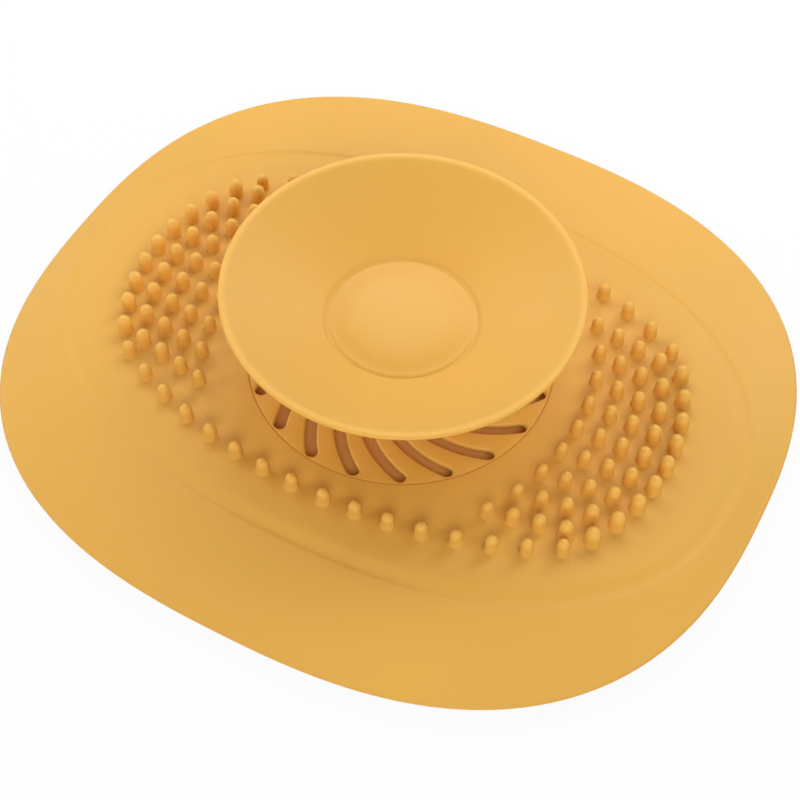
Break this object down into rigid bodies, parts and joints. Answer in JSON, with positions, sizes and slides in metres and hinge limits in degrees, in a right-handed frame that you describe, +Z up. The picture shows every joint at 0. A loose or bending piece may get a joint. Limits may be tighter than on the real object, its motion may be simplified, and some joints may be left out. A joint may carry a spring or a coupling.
{
  "type": "bathtub drain stopper",
  "caption": "Bathtub drain stopper: a lift cup on a sliding stem above a round slotted strainer plate, set in a soft rounded mat with short nubs that catch hair.",
  "frame": {"origin": "middle of the mat, on the surface that the part stands on; the stem's axis passes through it", "axes": "+X along the mat's longer side, +Y along its shorter side, +Z up along the stem, out of the drain"},
  "size_m": [0.1494, 0.1348, 0.026],
  "materials": {
    "soft_silicone": "matte mustard-yellow silicone",
    "disc_silicone": "matte light-brown silicone",
    "hard_plastic": "matte mustard-yellow plastic",
    "steel": "plain stainless steel"
  },
  "bodies": {
    "base": {"mat": "soft_silicone", "strainer_plate": "hard_plastic", "stem_bush": "soft_silicone"},
    "lift": {"stem": "hard_plastic", "lift_cup": "soft_silicone", "cup_cap": "hard_plastic", "stopper_disc": "disc_silicone", "stem_screw": "steel"}
  },
  "joints": [
    {"name": "lift_slide", "type": "slide", "parent": "base", "child": "lift", "axis": [0, 0, 1], "range_m": [-0.005, 0]}
  ]
}
